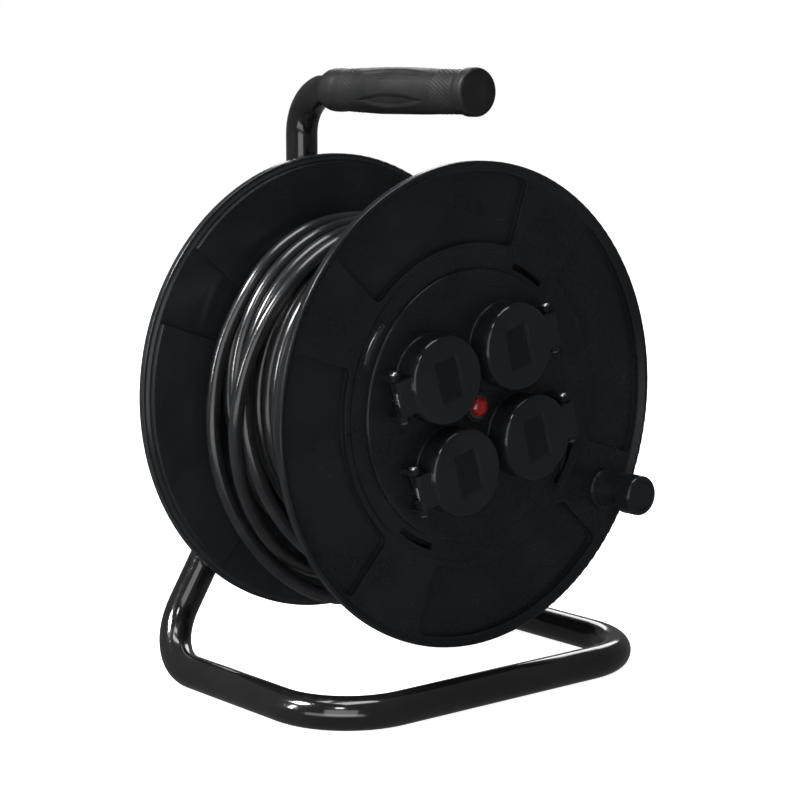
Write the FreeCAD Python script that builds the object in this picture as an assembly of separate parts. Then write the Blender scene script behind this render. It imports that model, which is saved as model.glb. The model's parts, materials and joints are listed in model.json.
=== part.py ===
import FreeCAD, Part
import math
import os

from FreeCAD import Vector

# Extension cord reel: a cable drum with four lidded sockets, which turns on an axle in a bent tube frame.
# Millimetres. +Z is up, the sockets face -Y, and the origin is on the floor under the middle of the reel.
# The drum's parts are drawn about the drum's axis at its mid width, then turned and moved into the frame.

# ---- driving dimensions -------------------------------------------------------------------------
FLANGE_R = 145.0
DRUM_WIDTH = 142.6
AXIS_HEIGHT = 175.0
DRUM_OFFSET_Y = 2.8
DRUM_TURN = 15.0
RIM_DEPTH = 4.0
WEB = 2.5
CORE_R = 72.0
CORE_WALL = 3.0
SOCKET_PITCH = 58.0
PANEL_R = 82.0
TUBE_R = 10.0
TUBE_WALL = 1.5
BASE_HALF_WIDTH = 125.0
BASE_FRONT_Y = -90.0
TUBE_REAR_Y = 87.8
GRIP_Z = 359.8
KNOB_ORBIT_R = 125.5
KNOB_ANGLE = -45.0
CABLE_R = 4.5
COIL_R = 107.0
AXLE_R = 6.0

# ---- levels across the drum, from its mid width -------------------------------------------------
FRONT = -DRUM_WIDTH / 2
REAR = DRUM_WIDTH / 2
WEB_FRONT = FRONT + RIM_DEPTH
WEB_BACK = WEB_FRONT + WEB
PANEL_T = 2.5
PANEL_FRONT = WEB_FRONT - PANEL_T
COLLAR_FRONT = PANEL_FRONT - 11.0
LID_BACK = COLLAR_FRONT - 0.2
LID_FRONT = LID_BACK - 6.0
WELL_FLOOR = -63.3
WELL_BACK = -58.0
HINGE_Y = -78.5
HINGE_REACH = 32.0
CLAMP_FRONT = 69.7
CLAMP_SPLIT = TUBE_REAR_Y - DRUM_OFFSET_Y
CLAMP_REAR = 97.2
BEARING_FRONT = -22.0

ORIGIN = Vector(0, 0, 0)
X = Vector(1, 0, 0)
Y = Vector(0, 1, 0)
Z = Vector(0, 0, 1)
FAR = 400.0

QUARTERS = (0.0, 90.0, 180.0, 270.0)
# Each socket: its place in the panel, and the turn that puts its hinge on the outer side.
SOCKETS = {
    "upper_left": (-SOCKET_PITCH / 2, SOCKET_PITCH / 2, 0.0),
    "lower_left": (-SOCKET_PITCH / 2, -SOCKET_PITCH / 2, 0.0),
    "upper_right": (SOCKET_PITCH / 2, SOCKET_PITCH / 2, 180.0),
    "lower_right": (SOCKET_PITCH / 2, -SOCKET_PITCH / 2, 180.0),
}

parts = {}


# ---- small shape helpers ------------------------------------------------------------------------
def rod(radius, y0, y1, x=0.0, z=0.0):
    """A cylinder along Y."""
    return Part.makeCylinder(radius, y1 - y0, Vector(x, y0, z), Y)


def ring(outer, inner, y0, y1, x=0.0, z=0.0):
    return rod(outer, y0, y1, x, z).cut(rod(inner, y0 - 1, y1 + 1, x, z))


def post(radius, z0, z1, x=0.0, y=0.0):
    """A cylinder along Z."""
    return Part.makeCylinder(radius, z1 - z0, Vector(x, y, z0), Z)


def block(x0, x1, y0, y1, z0, z1):
    return Part.makeBox(x1 - x0, y1 - y0, z1 - z0, Vector(x0, y0, z0))


def hexagon(across_flats, y0, y1, x=0.0, z=0.0):
    """A hexagonal prism along Y."""
    corner = across_flats / math.sqrt(3)
    points = []
    for k in range(7):
        a = math.radians(60 * k)
        points.append(Vector(x + corner * math.cos(a), y0, z + corner * math.sin(a)))
    return Part.Face(Part.makePolygon(points)).extrude(Vector(0, y1 - y0, 0))


def fused(shapes):
    shapes = list(shapes)
    return shapes[0].multiFuse(shapes[1:]).removeSplitter() if len(shapes) > 1 else shapes[0]


def wire_of(start, steps):
    """A closed wire in the XY plane. A step is a point, or a pair (middle, end) for an arc."""
    edges = []
    here = Vector(*start, 0)
    for step in steps:
        if isinstance(step[0], tuple):
            middle, end = Vector(*step[0], 0), Vector(*step[1], 0)
            edges.append(Part.Arc(here, middle, end).toShape())
        else:
            end = Vector(*step, 0)
            edges.append(Part.LineSegment(here, end).toShape())
        here = end
    if here.sub(Vector(*start, 0)).Length > 1e-6:
        edges.append(Part.LineSegment(here, Vector(*start, 0)).toShape())
    return Part.Wire(edges)


def turned(start, steps):
    """A solid of revolution about Y from an outline of (radius, y) points."""
    return Part.Face(wire_of(start, steps)).revolve(ORIGIN, Y, 360)


def sector(r0, r1, y0, y1, centre, half):
    """A block of a ring; centre and half width are in degrees, anticlockwise from +X seen from the front."""
    face = Part.Face(Part.makePolygon([Vector(r0, y0, 0), Vector(r1, y0, 0), Vector(r1, y1, 0),
                                       Vector(r0, y1, 0), Vector(r0, y0, 0)]))
    solid = face.revolve(ORIGIN, -Y, 2 * half)
    return spun(solid, centre - half)


def spun(shape, degrees, centre=ORIGIN):
    """A copy turned about the drum's axis, anticlockwise as seen from the front."""
    out = shape.copy()
    out.rotate(centre, -Y, degrees)
    return out


def moved(shape, x=0.0, y=0.0, z=0.0):
    out = shape.copy()
    out.translate(Vector(x, y, z))
    return out


def polar(radius, degrees):
    a = math.radians(degrees)
    return radius * math.cos(a), radius * math.sin(a)


def mirrored_rear(shape):
    """The same shape on the drum's other side."""
    return shape.mirror(ORIGIN, Y)


def pipe(points, bends, radius):
    """A round bar along straight runs joined by tangent arcs, and its path's length."""
    edges = []
    here = points[0]
    for before, corner, after, bend in zip(points, points[1:], points[2:], bends):
        into = corner.sub(before).normalize()
        out = after.sub(corner).normalize()
        half = into.getAngle(out) / 2
        reach = bend * math.tan(half)
        start = corner.sub(into * reach)
        end = corner.add(out * reach)
        inward = out.sub(into).normalize()
        middle = corner.add(inward * (bend / math.cos(half) - bend))
        edges.append(Part.LineSegment(here, start).toShape())
        edges.append(Part.Arc(start, middle, end).toShape())
        here = end
    edges.append(Part.LineSegment(here, points[-1]).toShape())
    path = Part.Wire(edges)
    first = points[1].sub(points[0])
    profile = Part.Wire(Part.makeCircle(radius, points[0], first))
    return path.makePipeShell([profile], True, False), path.Length


def coil_spring(coil_r, wire_r, pitch, height):
    """A helix of wire that rises along Z from the origin."""
    helix = Part.makeHelix(pitch, height, coil_r)
    start = helix.Edges[0].Vertexes[0].Point
    profile = Part.Wire(Part.makeCircle(wire_r, start, Y))
    return Part.Wire(helix.Edges).makePipeShell([profile], True, True)


def in_reel(shape):
    """Puts a drum part, drawn about the drum's axis, at its place in the reel."""
    return moved(spun(shape, DRUM_TURN), 0, DRUM_OFFSET_Y, AXIS_HEIGHT)


def on_frame(shape):
    """Puts a part that doesn't turn with the drum, drawn about the drum's axis, at its place."""
    return moved(shape, 0, DRUM_OFFSET_Y, AXIS_HEIGHT)


def at_socket(shape, name):
    x, z, turn = SOCKETS[name]
    return moved(spun(shape, turn), x, 0, z)


# ---- frame --------------------------------------------------------------------------------------
HUB_X = 10.5
HUB_BEND_Z = 196.0
RIGHT_END_Z = 234.0
GRIP_FRONT_Y = -80.4
GRIP_REAR_Y = 57.0


def tube_route():
    """The frame tube's corners, from inside the grip to the right leg's upper end, and its bend radii."""
    corners = [
        (Vector(-HUB_X, GRIP_FRONT_Y + 6, GRIP_Z), None),
        (Vector(-HUB_X, TUBE_REAR_Y, GRIP_Z), 28.0),
        (Vector(-HUB_X, TUBE_REAR_Y, HUB_BEND_Z), 40.0),
        (Vector(-BASE_HALF_WIDTH, TUBE_REAR_Y, TUBE_R), 38.0),
        (Vector(-BASE_HALF_WIDTH, BASE_FRONT_Y, TUBE_R), 48.0),
        (Vector(BASE_HALF_WIDTH, BASE_FRONT_Y, TUBE_R), 48.0),
        (Vector(BASE_HALF_WIDTH, TUBE_REAR_Y, TUBE_R), 38.0),
        (Vector(HUB_X, TUBE_REAR_Y, HUB_BEND_Z), 40.0),
        (Vector(HUB_X, TUBE_REAR_Y, RIGHT_END_Z), None),
    ]
    return [p for p, _ in corners], [b for _, b in corners if b is not None]


def frame_tube():
    points, bends = tube_route()
    outer, _ = pipe(points, bends, TUBE_R)
    inner, _ = pipe(points, bends, TUBE_R - TUBE_WALL)
    return outer.cut(inner)


def handle_grip():
    """The moulded grip: a sleeve closed at the front, with a collar at each end and five finger hollows."""
    length = GRIP_REAR_Y - GRIP_FRONT_Y
    front_r, waist_r, belly_r, rear_r = 14.4, 12.9, 14.2, 13.4
    middle = 72.0
    body = turned((0, 0), [
        (12.7, 0), ((13.8, 0.5), (front_r, 1.8)), (front_r, 12.0), ((14.0, 13.4), (waist_r, 14.4)),
        (waist_r, 22.5), ((13.8, 48.0), (belly_r, middle)), ((13.8, 96.0), (waist_r, 120.0)),
        ((13.3, 124.0), (rear_r, 128.0)), ((13.1, 133.5), (11.4, length)), (0, length),
    ])
    hollow_r = 300.0
    hollow_depth = 1.3
    for k in range(5):
        cutter = Part.makeCylinder(hollow_r, 20, Vector(-10, middle, belly_r - hollow_depth + hollow_r), X)
        body = body.cut(spun(cutter, 72 * k - 38))
    body = body.cut(rod(TUBE_R + 0.02, 6.0, FAR))
    return moved(body, -HUB_X, GRIP_FRONT_Y, GRIP_Z)


def tube_end_cap():
    """A plug in the open upper end of the right leg."""
    cap = post(TUBE_R, RIGHT_END_Z, RIGHT_END_Z + 2.5)
    cap = cap.makeFillet(1.2, [e for e in cap.Edges if e.BoundBox.ZMin > RIGHT_END_Z + 2])
    cap = cap.fuse(post(TUBE_R - TUBE_WALL - 0.03, RIGHT_END_Z - 12, RIGHT_END_Z))
    return moved(cap, HUB_X, TUBE_REAR_Y, 0)


# Screw places in the clamp: across and up from the drum's axis.
CLAMP_SCREWS = [(-26.5, 39.0), (26.5, 39.0), (-48.5, -11.0), (48.5, -11.0)]
CLAMP_TOP, CLAMP_BOTTOM, CLAMP_WAIST = 49.0, -21.0, 6.0


def clamp_outline(y0, y1):
    """The hub clamp's body: narrow over the upright tubes and wide where the legs spread."""
    top_half, bottom_half = 34.0, 57.0
    points = [(-top_half, CLAMP_TOP), (top_half, CLAMP_TOP), (bottom_half, CLAMP_WAIST),
              (bottom_half, CLAMP_BOTTOM), (-bottom_half, CLAMP_BOTTOM), (-bottom_half, CLAMP_WAIST)]
    corners = [Vector(x, y0, z) for x, z in points + points[:1]]
    body = Part.Face(Part.makePolygon(corners)).extrude(Vector(0, y1 - y0, 0))
    upright = [e for e in body.Edges if abs(e.BoundBox.YLength - (y1 - y0)) < 1e-6]
    return body.makeFillet(7.0, upright)


def tube_channel():
    """The space that the frame tube takes up in the clamp, drawn about the drum's axis."""
    points, bends = tube_route()
    left, _ = pipe(points[1:4], bends[1:2], TUBE_R + 0.03)
    right, _ = pipe(points[-3:], bends[-1:], TUBE_R + 0.03)
    return [moved(s, 0, -DRUM_OFFSET_Y, -AXIS_HEIGHT) for s in (left, right)]


def hub_clamps():
    front = clamp_outline(CLAMP_FRONT, CLAMP_SPLIT - 0.3)
    edge = [e for e in front.Edges if e.BoundBox.YMax < CLAMP_FRONT + 0.01]
    front = front.makeFillet(1.5, edge)
    rear = clamp_outline(CLAMP_SPLIT + 0.3, CLAMP_REAR)
    edge = [e for e in rear.Edges if e.BoundBox.YMin > CLAMP_REAR - 0.01]
    rear = rear.makeFillet(2.5, edge)
    for channel in tube_channel():
        front = front.cut(channel)
        rear = rear.cut(channel)
    for x, z in CLAMP_SCREWS:
        hole = rod(2.7, 60, 100, x, z)
        front = front.cut(hole).cut(hexagon(8.1, CLAMP_FRONT - 1, CLAMP_FRONT + 4.2, x, z))
        rear = rear.cut(hole).cut(rod(4.7, CLAMP_REAR - 4.0, CLAMP_REAR + 1, x, z))
    front = front.cut(rod(AXLE_R + 0.02, 60, 100)).cut(rod(9.1, 60, CLAMP_FRONT + 1.5))
    rear = rear.cut(rod(9.5, 80, 100))
    return front, rear


def clamp_screws():
    screws = []
    for x, z in CLAMP_SCREWS:
        head = rod(4.4, CLAMP_REAR - 4.0, CLAMP_REAR - 0.6, x, z)
        head = head.makeFillet(0.8, [e for e in head.Edges if e.BoundBox.YMin > CLAMP_REAR - 0.7])
        head = head.cut(hexagon(4.0, CLAMP_REAR - 3.0, CLAMP_REAR, x, z))
        screws.append(head.fuse(rod(2.5, CLAMP_FRONT + 0.4, CLAMP_REAR - 4.0, x, z)))
    return screws


def clamp_nuts():
    y0 = CLAMP_FRONT + 0.1
    return [hexagon(8.0, y0, y0 + 4.0, x, z).cut(rod(2.52, 0, 100, x, z)) for x, z in CLAMP_SCREWS]


THREAD_R = 4.0
AXLE_FRONT = -27.0
CLIP_Y = -25.8


def axle():
    """The steel axle: a shouldered pin with a collar against the clamp and a thread behind it."""
    pin = rod(AXLE_R, AXLE_FRONT, CLAMP_SPLIT - 0.3)
    pin = pin.makeChamfer(0.8, [e for e in pin.Edges if e.BoundBox.YMax < AXLE_FRONT + 0.1])
    collar = rod(9.0, 68.8, CLAMP_FRONT + 1.5)
    thread = rod(THREAD_R, CLAMP_SPLIT - 0.3, 94.5)
    thread = thread.makeChamfer(0.6, [e for e in thread.Edges if e.BoundBox.YMin > 94])
    groove = ring(AXLE_R + 1, 5.2, CLIP_Y - 0.05, CLIP_Y + 1.05)
    return fused([pin, collar, thread]).cut(groove)


def axle_fasteners():
    y0 = CLAMP_SPLIT - 0.3
    washer = ring(8.0, THREAD_R + 0.2, y0, y0 + 1.6)
    nut = hexagon(13.0, y0 + 1.6, y0 + 8.1).common(turned((0, y0 + 1.6), [
        (7.5, y0 + 1.6), (7.5, y0 + 7.3), (6.4, y0 + 8.1), (0, y0 + 8.1)]))
    nut = nut.cut(rod(THREAD_R + 0.02, y0, y0 + 10))
    clip = ring(9.3, 5.25, CLIP_Y, CLIP_Y + 1.0).cut(block(-2.2, 2.2, CLIP_Y - 1, CLIP_Y + 2, -FAR, 0))
    thrust = ring(10.5, AXLE_R + 0.1, CLIP_Y + 1.05, BEARING_FRONT - 1.55)
    return washer, nut, clip, thrust


# ---- drum ---------------------------------------------------------------------------------------
KNOB_SEAT = WEB_FRONT - 0.8
POCKET_HALF = 33.0
POCKET_R0, POCKET_R1, POCKET_DEPTH = 97.0, 139.0, 3.0
FLANGE_SCREW_R = 64.0
PANEL_STUD_R = 50.0


def flange_disc():
    """A flange's web, rim and four shallow pockets, for the front of the drum."""
    rim_back = WEB_BACK - 1.2
    disc = turned((0, WEB_FRONT), [
        (92.0, WEB_FRONT), (94.0, WEB_FRONT - 0.8), (POCKET_R1 + 0.5, WEB_FRONT - 0.8), (142.3, FRONT + 0.9),
        ((142.9, FRONT + 0.2), (143.7, FRONT)), ((144.6, FRONT + 0.4), (FLANGE_R, FRONT + 1.3)),
        (FLANGE_R, rim_back - 0.8), ((144.7, rim_back - 0.2), (144.0, rim_back)),
        (143.2, rim_back), (141.5, WEB_BACK), (0, WEB_BACK)])
    for centre in QUARTERS:
        half = POCKET_HALF + math.degrees(WEB / POCKET_R0)
        pan = sector(POCKET_R0 - WEB, POCKET_R1 + 1.0, WEB_FRONT, WEB_BACK + POCKET_DEPTH, centre, half)
        disc = disc.fuse(pan)
    floor = WEB_FRONT + POCKET_DEPTH
    for centre in QUARTERS:
        hollow = sector(POCKET_R0, POCKET_R1, FRONT - 1, floor, centre, POCKET_HALF)
        walls = [e for e in hollow.Edges if abs(e.BoundBox.YLength - (floor - FRONT + 1)) < 1e-6]
        hollow = hollow.makeFillet(5.0, walls)
        disc = disc.cut(hollow)
    return disc


def front_flange():
    body = flange_disc()
    x, z = polar(KNOB_ORBIT_R, KNOB_ANGLE)
    body = body.fuse(rod(12.7, KNOB_SEAT, WEB_BACK + 3.0, x, z))
    body = body.cut(rod(3.5, -100, -50, x, z)).cut(rod(7.0, WEB_BACK + 1.0, 0, x, z))
    for name, (x, z, _) in SOCKETS.items():
        body = body.cut(rod(22.8, -80, -50, x, z)).cut(rod(25.7, -80, WEB_FRONT + 1.5, x, z))
    body = body.cut(rod(7.1, -80, -50))
    for angle in QUARTERS:
        x, z = polar(FLANGE_SCREW_R, angle)
        body = body.cut(rod(2.1, -80, -50, x, z)).cut(rod(4.1, -80, WEB_FRONT + 1.2, x, z))
        x, z = polar(PANEL_STUD_R, angle)
        body = body.cut(rod(3.7, -80, -50, x, z))
        body = body.cut(sector(85.2, 89.2, -80, -50, angle + 45, 9.0))
    return body.removeSplitter()


def rear_flange():
    """The rear flange, with radial ribs and the long bearing tube that carries the drum."""
    ribs = [sector(16.0, 93.0, WEB_FRONT - 1.6, WEB_FRONT, 22.5 + 45 * k, 1.6) for k in range(8)]
    hub_ring = ring(20.0, 16.0, WEB_FRONT - 1.6, WEB_FRONT)
    body = flange_disc()
    for angle in QUARTERS:
        body = body.cut(sector(85.2, 89.2, -80, -50, angle + 45, 9.0))
    body = mirrored_rear(body.multiFuse(ribs + [hub_ring]))
    body = body.fuse(rod(13.0, BEARING_FRONT, -WEB_BACK))
    for k in range(4):
        gusset = sector(12.0, 40.0, 40.0, -WEB_BACK + 0.5, 90 * k, 2.2)
        slope = spun(wedge_cut(), 90 * k)
        body = body.fuse(gusset.cut(slope))
    body = body.cut(rod(8.0, BEARING_FRONT - 1, 80))
    for angle in QUARTERS:
        x, z = polar(FLANGE_SCREW_R, angle)
        body = body.cut(rod(2.1, 50, 80, x, z))
    return body.removeSplitter()


def wedge_cut():
    """Takes the outer corner off a gusset between the bearing tube and the rear web."""
    points = [Vector(14, 39, -5), Vector(41, 39, -5), Vector(41, -WEB_BACK, -5), Vector(14, 39, -5)]
    return Part.Face(Part.makePolygon(points)).extrude(Vector(0, 0, 10))


GROMMET_Y = 30.0
TRAY_TOP = -49.0


def drum_core():
    """The barrel that the cable is wound on, with screw bosses and the tray for the cable's connections."""
    y1 = -WEB_BACK
    body = ring(CORE_R, CORE_R - CORE_WALL, -y1, y1)
    for angle in QUARTERS:
        x, z = polar(FLANGE_SCREW_R, angle)
        for low, high in ((-y1, -46.0), (46.0, y1)):
            body = body.fuse(rod(6.0, low, high, x, z)).cut(rod(1.6, low - 1, high + 1, x, z))
    tray = block(-60, 60, 8, 45, TRAY_TOP - 3, TRAY_TOP).common(rod(CORE_R - 1, 0, 60))
    body = body.fuse(tray)
    body = body.cut(post(CABLE_R + 0.4, -60, -40, 0, GROMMET_Y))
    body = body.cut(post(7.0, -80, -60, 0, GROMMET_Y))
    for x in (-8.5, 8.5):
        body = body.cut(post(1.3, -60, -40, x, GROMMET_Y))
    return body.removeSplitter()


def bush(mouth):
    """A flanged nylon bush; mouth is the level of its flange's inner face, at the bearing tube's end."""
    way = 1.0 if mouth < 0 else -1.0
    low, high = sorted((mouth, mouth + way * 16.0))
    sleeve = ring(8.0, AXLE_R + 0.05, low, high)
    low, high = sorted((mouth, mouth - way * 1.4))
    return sleeve.fuse(ring(11.0, AXLE_R + 0.05, low, high)).removeSplitter()


def flange_screws():
    """Countersunk screws in front and pan-head screws behind, into the core's bosses."""
    screws = []
    for angle in QUARTERS:
        x, z = polar(FLANGE_SCREW_R, angle)
        head = rod(3.9, WEB_FRONT + 0.1, WEB_FRONT + 1.2, x, z).cut(hexagon(3.0, -70, WEB_FRONT + 0.8, x, z))
        screws.append(head.fuse(rod(1.58, WEB_FRONT + 1.2, -49, x, z)))
        rear = -WEB_FRONT
        head = rod(3.8, rear, rear + 2.0, x, z)
        head = head.makeFillet(0.9, [e for e in head.Edges if e.BoundBox.YMin > rear + 1.9])
        head = head.cut(hexagon(3.0, rear + 0.7, rear + 3, x, z))
        screws.append(head.fuse(rod(1.58, 49, rear, x, z)))
    return screws


# ---- socket panel -------------------------------------------------------------------------------
EAR_INNER, EAR_OUTER = 10.8, 14.4
EAR_R = 3.4
PIN_R = 1.5


def socket_panel():
    """The round cover: four collars, a pair of hinge ears beside each, and studs behind for its screws."""
    body = turned((0, PANEL_FRONT), [
        (PANEL_R - 1.8, PANEL_FRONT), ((PANEL_R - 0.5, PANEL_FRONT + 0.5), (PANEL_R, PANEL_FRONT + 1.8)),
        (PANEL_R, WEB_FRONT), (0, WEB_FRONT)])
    for name in SOCKETS:
        body = body.fuse(at_socket(turned((0, COLLAR_FRONT), [
            (24.4, COLLAR_FRONT), ((24.9, COLLAR_FRONT + 0.1), (25.2, COLLAR_FRONT + 0.8)),
            (25.2, PANEL_FRONT - 1.2), ((25.6, PANEL_FRONT - 0.4), (26.4, PANEL_FRONT)),
            (26.4, WEB_FRONT), (0, WEB_FRONT)]), name))
        for z0 in (EAR_INNER, -EAR_OUTER):
            z1 = z0 + EAR_OUTER - EAR_INNER
            x = -HINGE_REACH
            ear = post(EAR_R, z0, z1, x, HINGE_Y)
            ear = ear.fuse(block(x - EAR_R, x + EAR_R, HINGE_Y, PANEL_FRONT + 1, z0, z1))
            body = body.fuse(at_socket(ear, name))
    for name in SOCKETS:
        body = body.cut(at_socket(rod(22.8, -100, -50), name))
        body = body.cut(at_socket(post(PIN_R + 0.02, -20, 20, -HINGE_REACH, HINGE_Y), name))
    for angle in QUARTERS:
        x, z = polar(PANEL_STUD_R, angle)
        body = body.fuse(rod(3.5, WEB_FRONT - 0.5, -62.0, x, z)).cut(rod(1.2, WEB_FRONT, -60, x, z))
    return body.cut(rod(7.1, -100, -50)).removeSplitter()


def panel_screws():
    screws = []
    for angle in QUARTERS:
        x, z = polar(PANEL_STUD_R, angle)
        head = rod(3.2, -62.0, -60.0, x, z).cut(hexagon(2.4, -61.2, -59, x, z))
        screws.append(head.fuse(rod(1.18, WEB_FRONT + 0.4, -62.0, x, z)))
    return screws


CONTACT_X = 9.5
CONTACT_BACK = -45.2
TAIL_R = 0.85
CLIP_HALF = 1.7
WELL_R = 19.75


def socket_insert():
    """A round socket well with two pin holes, earth slots and bosses behind for the pin contacts."""
    body = turned((0, COLLAR_FRONT + 0.3), [
        (22.0, COLLAR_FRONT + 0.3), (22.5, COLLAR_FRONT + 0.8), (22.5, WEB_FRONT + 0.1),
        (25.5, WEB_FRONT + 0.1), (25.5, WEB_FRONT + 1.4), (22.5, WEB_FRONT + 1.4), (22.5, WELL_BACK),
        (0, WELL_BACK)])
    body = body.cut(turned((0, -100), [(WELL_R + 0.8, -100), (WELL_R + 0.8, COLLAR_FRONT + 0.3),
                                       (WELL_R, COLLAR_FRONT + 1.1), (WELL_R, WELL_FLOOR), (0, WELL_FLOOR)]))
    for x in (-CONTACT_X, CONTACT_X):
        body = body.fuse(rod(5.3, WELL_BACK - 0.5, CONTACT_BACK + 1.7, x, 0))
    for x in (-CONTACT_X, CONTACT_X):
        body = body.cut(rod(2.8, -70, -57.5, x, 0)).cut(rod(3.45, -57.5, CONTACT_BACK, x, 0))
        body = body.cut(rod(TAIL_R + 0.05, CONTACT_BACK - 1, -40, x, 0))
    for side in (-1, 1):
        z0, z1 = sorted((side * (WELL_R - 0.2), side * (WELL_R + 0.8)))
        body = body.cut(block(-CLIP_HALF - 0.2, CLIP_HALF + 0.2, -79.0, -50, z0, z1))
    return body.removeSplitter()


def pin_contacts():
    """Split brass sleeves behind the pin holes, each with a tail to its busbar."""
    sleeves = []
    for name in SOCKETS:
        for x in (-CONTACT_X, CONTACT_X):
            sleeve = ring(3.4, 2.4, -57.0, CONTACT_BACK, x, 0).cut(block(x - 0.4, x + 0.4, -58, -49, -5, 5))
            floor = rod(3.4, CONTACT_BACK - 1.0, CONTACT_BACK, x, 0)
            tail = rod(TAIL_R, CONTACT_BACK, LIVE_Y if x < 0 else NEUTRAL_Y, x, 0)
            sleeves.append(at_socket(fused([sleeve, floor, tail]), name))
    return sleeves


def earth_clips():
    """Brass earth clips: two springy tongues on the well's wall, joined behind its floor."""
    clips = []
    for name in SOCKETS:
        bars = [block(-CLIP_HALF, CLIP_HALF, -52.0, -51.0, -WELL_R, WELL_R)]
        for side in (-1, 1):
            z0, z1 = sorted((side * (WELL_R - 0.1), side * (WELL_R + 0.7)))
            bars.append(block(-CLIP_HALF, CLIP_HALF, -78.5, -51.0, z0, z1))
            bump = Part.makeCylinder(1.0, 2 * CLIP_HALF, Vector(-CLIP_HALF, -73, side * (WELL_R - 0.4)), X)
            bars.append(bump)
        clips.append(at_socket(fused(bars), name))
    return clips


LIVE_Y = -41.0
NEUTRAL_Y = -36.0
EARTH_Y = -51.0
STRIP_T = 1.0
STRIP_HALF = 3.0


def busbar(columns, cross_z, y):
    """An H of flat brass strip: a strip down each socket column and one across at cross_z."""
    half = SOCKET_PITCH / 2
    reach = half + 4.0
    strips = [block(x - STRIP_HALF, x + STRIP_HALF, y, y + STRIP_T, -reach, reach) for x in columns]
    strips.append(block(columns[0], columns[1], y, y + STRIP_T, cross_z - STRIP_HALF, cross_z + STRIP_HALF))
    return fused(strips)


def live_busbar():
    half = SOCKET_PITCH / 2
    return busbar((-half - CONTACT_X, half + CONTACT_X), 14.0, LIVE_Y)


def neutral_busbar():
    half = SOCKET_PITCH / 2
    return busbar((-half + CONTACT_X, half - CONTACT_X), -14.0, NEUTRAL_Y)


def earth_busbar():
    half = SOCKET_PITCH / 2
    y, low, high = EARTH_Y, -16.5, half - WELL_R + 3.0
    strips = [block(x - 2.5, x + 2.5, y, y + STRIP_T, low, high) for x in (-half, half)]
    strips.append(block(-half, half, y, y + STRIP_T, low, low + 5.0))
    return fused(strips)


RECESS_HALF_X, RECESS_HALF_Z = 7.7, 12.2
RECESS_DEPTH, RECESS_RUN = 1.2, 1.5


def lid_recess():
    """The shallow oblong hollow in a lid's face, whose walls slope outwards to the face."""
    x, z, run = RECESS_HALF_X, RECESS_HALF_Z, 2 * RECESS_RUN
    outside, floor = LID_FRONT - RECESS_DEPTH, LID_FRONT + RECESS_DEPTH
    hollow = Part.makeWedge(-x - run, outside, -z - run, -z, -x, x + run, floor, z + run, z, x)
    return moved(hollow, 1.0, 0, 0)


def lid():
    """A round lid with a rounded edge, a shallow recess in its face and a tongue to its hinge."""
    body = turned((0, LID_FRONT), [
        (23.0, LID_FRONT), ((25.2, LID_FRONT + 0.9), (26.2, LID_FRONT + 3.2)),
        (26.2, LID_BACK), (0, LID_BACK)])
    body = body.cut(lid_recess())
    tongue = block(-HINGE_REACH - 3.3, -18.0, LID_FRONT + 2.6, LID_BACK, -10.4, 10.4)
    outer = [e for e in tongue.Edges if e.BoundBox.XMax < -HINGE_REACH]
    rounded = [e for e in outer if e.BoundBox.YMax < LID_FRONT + 2.7]
    tongue = tongue.makeFillet(2.4, rounded)
    knuckle = post(3.3, -10.4, 10.4, -HINGE_REACH, HINGE_Y)
    cheek = block(-HINGE_REACH - 3.3, -HINGE_REACH + 3.3, LID_BACK - 1, HINGE_Y, -10.4, 10.4)
    body = fused([body, tongue, knuckle, cheek])
    body = body.cut(rod(23.6, LID_BACK - 3.5, LID_BACK + 0.01))
    body = body.cut(post(5.2, -4.3, 4.3, -HINGE_REACH, HINGE_Y))
    return body.cut(post(PIN_R + 0.05, -20, 20, -HINGE_REACH, HINGE_Y))


def lid_pin():
    """The hinge pin, with a domed head at each end."""
    pin = post(PIN_R, -EAR_OUTER, EAR_OUTER)
    for side in (-1, 1):
        z0, z1 = sorted((side * EAR_OUTER, side * (EAR_OUTER + 1.5)))
        head = post(2.7, z0, z1)
        head = head.makeFillet(1.2, [e for e in head.Edges if abs(e.BoundBox.Center.z) > EAR_OUTER + 1.4])
        pin = pin.fuse(head)
    return moved(pin, -HINGE_REACH, HINGE_Y, 0)


def lid_spring():
    """The torsion spring round the hinge pin, with one leg down to the panel and one towards the lid."""
    coil_r, wire_r = 2.3, 0.35
    half = 3.3
    leg_r = wire_r * 1.05
    coil = moved(coil_spring(coil_r, wire_r, 1.1, 2 * half), 0, 0, -half)
    leg = Part.makeCylinder(leg_r, PANEL_FRONT - HINGE_Y - 0.05, Vector(coil_r, 0, -half), Y)
    stub = Part.makeCylinder(leg_r, 4.2, Vector(coil_r, 0, half), -Y)
    return moved(coil.fuse(leg).fuse(stub), -HINGE_REACH, HINGE_Y, 0)


def lid_seal():
    """The flat rubber seal held inside the lid."""
    return ring(23.55, 18.5, LID_BACK - 3.4, LID_BACK + 0.15)


# ---- thermal cut-out ----------------------------------------------------------------------------
BUTTON_R = 5.5


def thermal_cutout():
    body = rod(10.5, WEB_BACK, -42.0)
    body = body.makeFillet(1.0, [e for e in body.Edges if e.BoundBox.YMin > -42.1])
    body = body.fuse(rod(7.0, -72.6, WEB_BACK))
    return body.cut(rod(BUTTON_R + 0.1, -80, -50.0)).removeSplitter()


def cutout_ring():
    """The round nut that holds the cut-out in the panel."""
    nut = ring(9.6, 7.05, PANEL_FRONT - 2.6, PANEL_FRONT)
    return nut.makeFillet(0.8, [e for e in nut.Edges if e.BoundBox.YMax < PANEL_FRONT - 2.5])


def reset_button():
    """The red button, domed in front and hollow behind for its spring."""
    top = -77.0
    body = turned((0, top), [((3.2, top + 0.6), (BUTTON_R, top + 2.4)), (BUTTON_R, -61.0), (0, -61.0)])
    return body.cut(rod(3.9, -68.0, -60.0))


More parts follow.
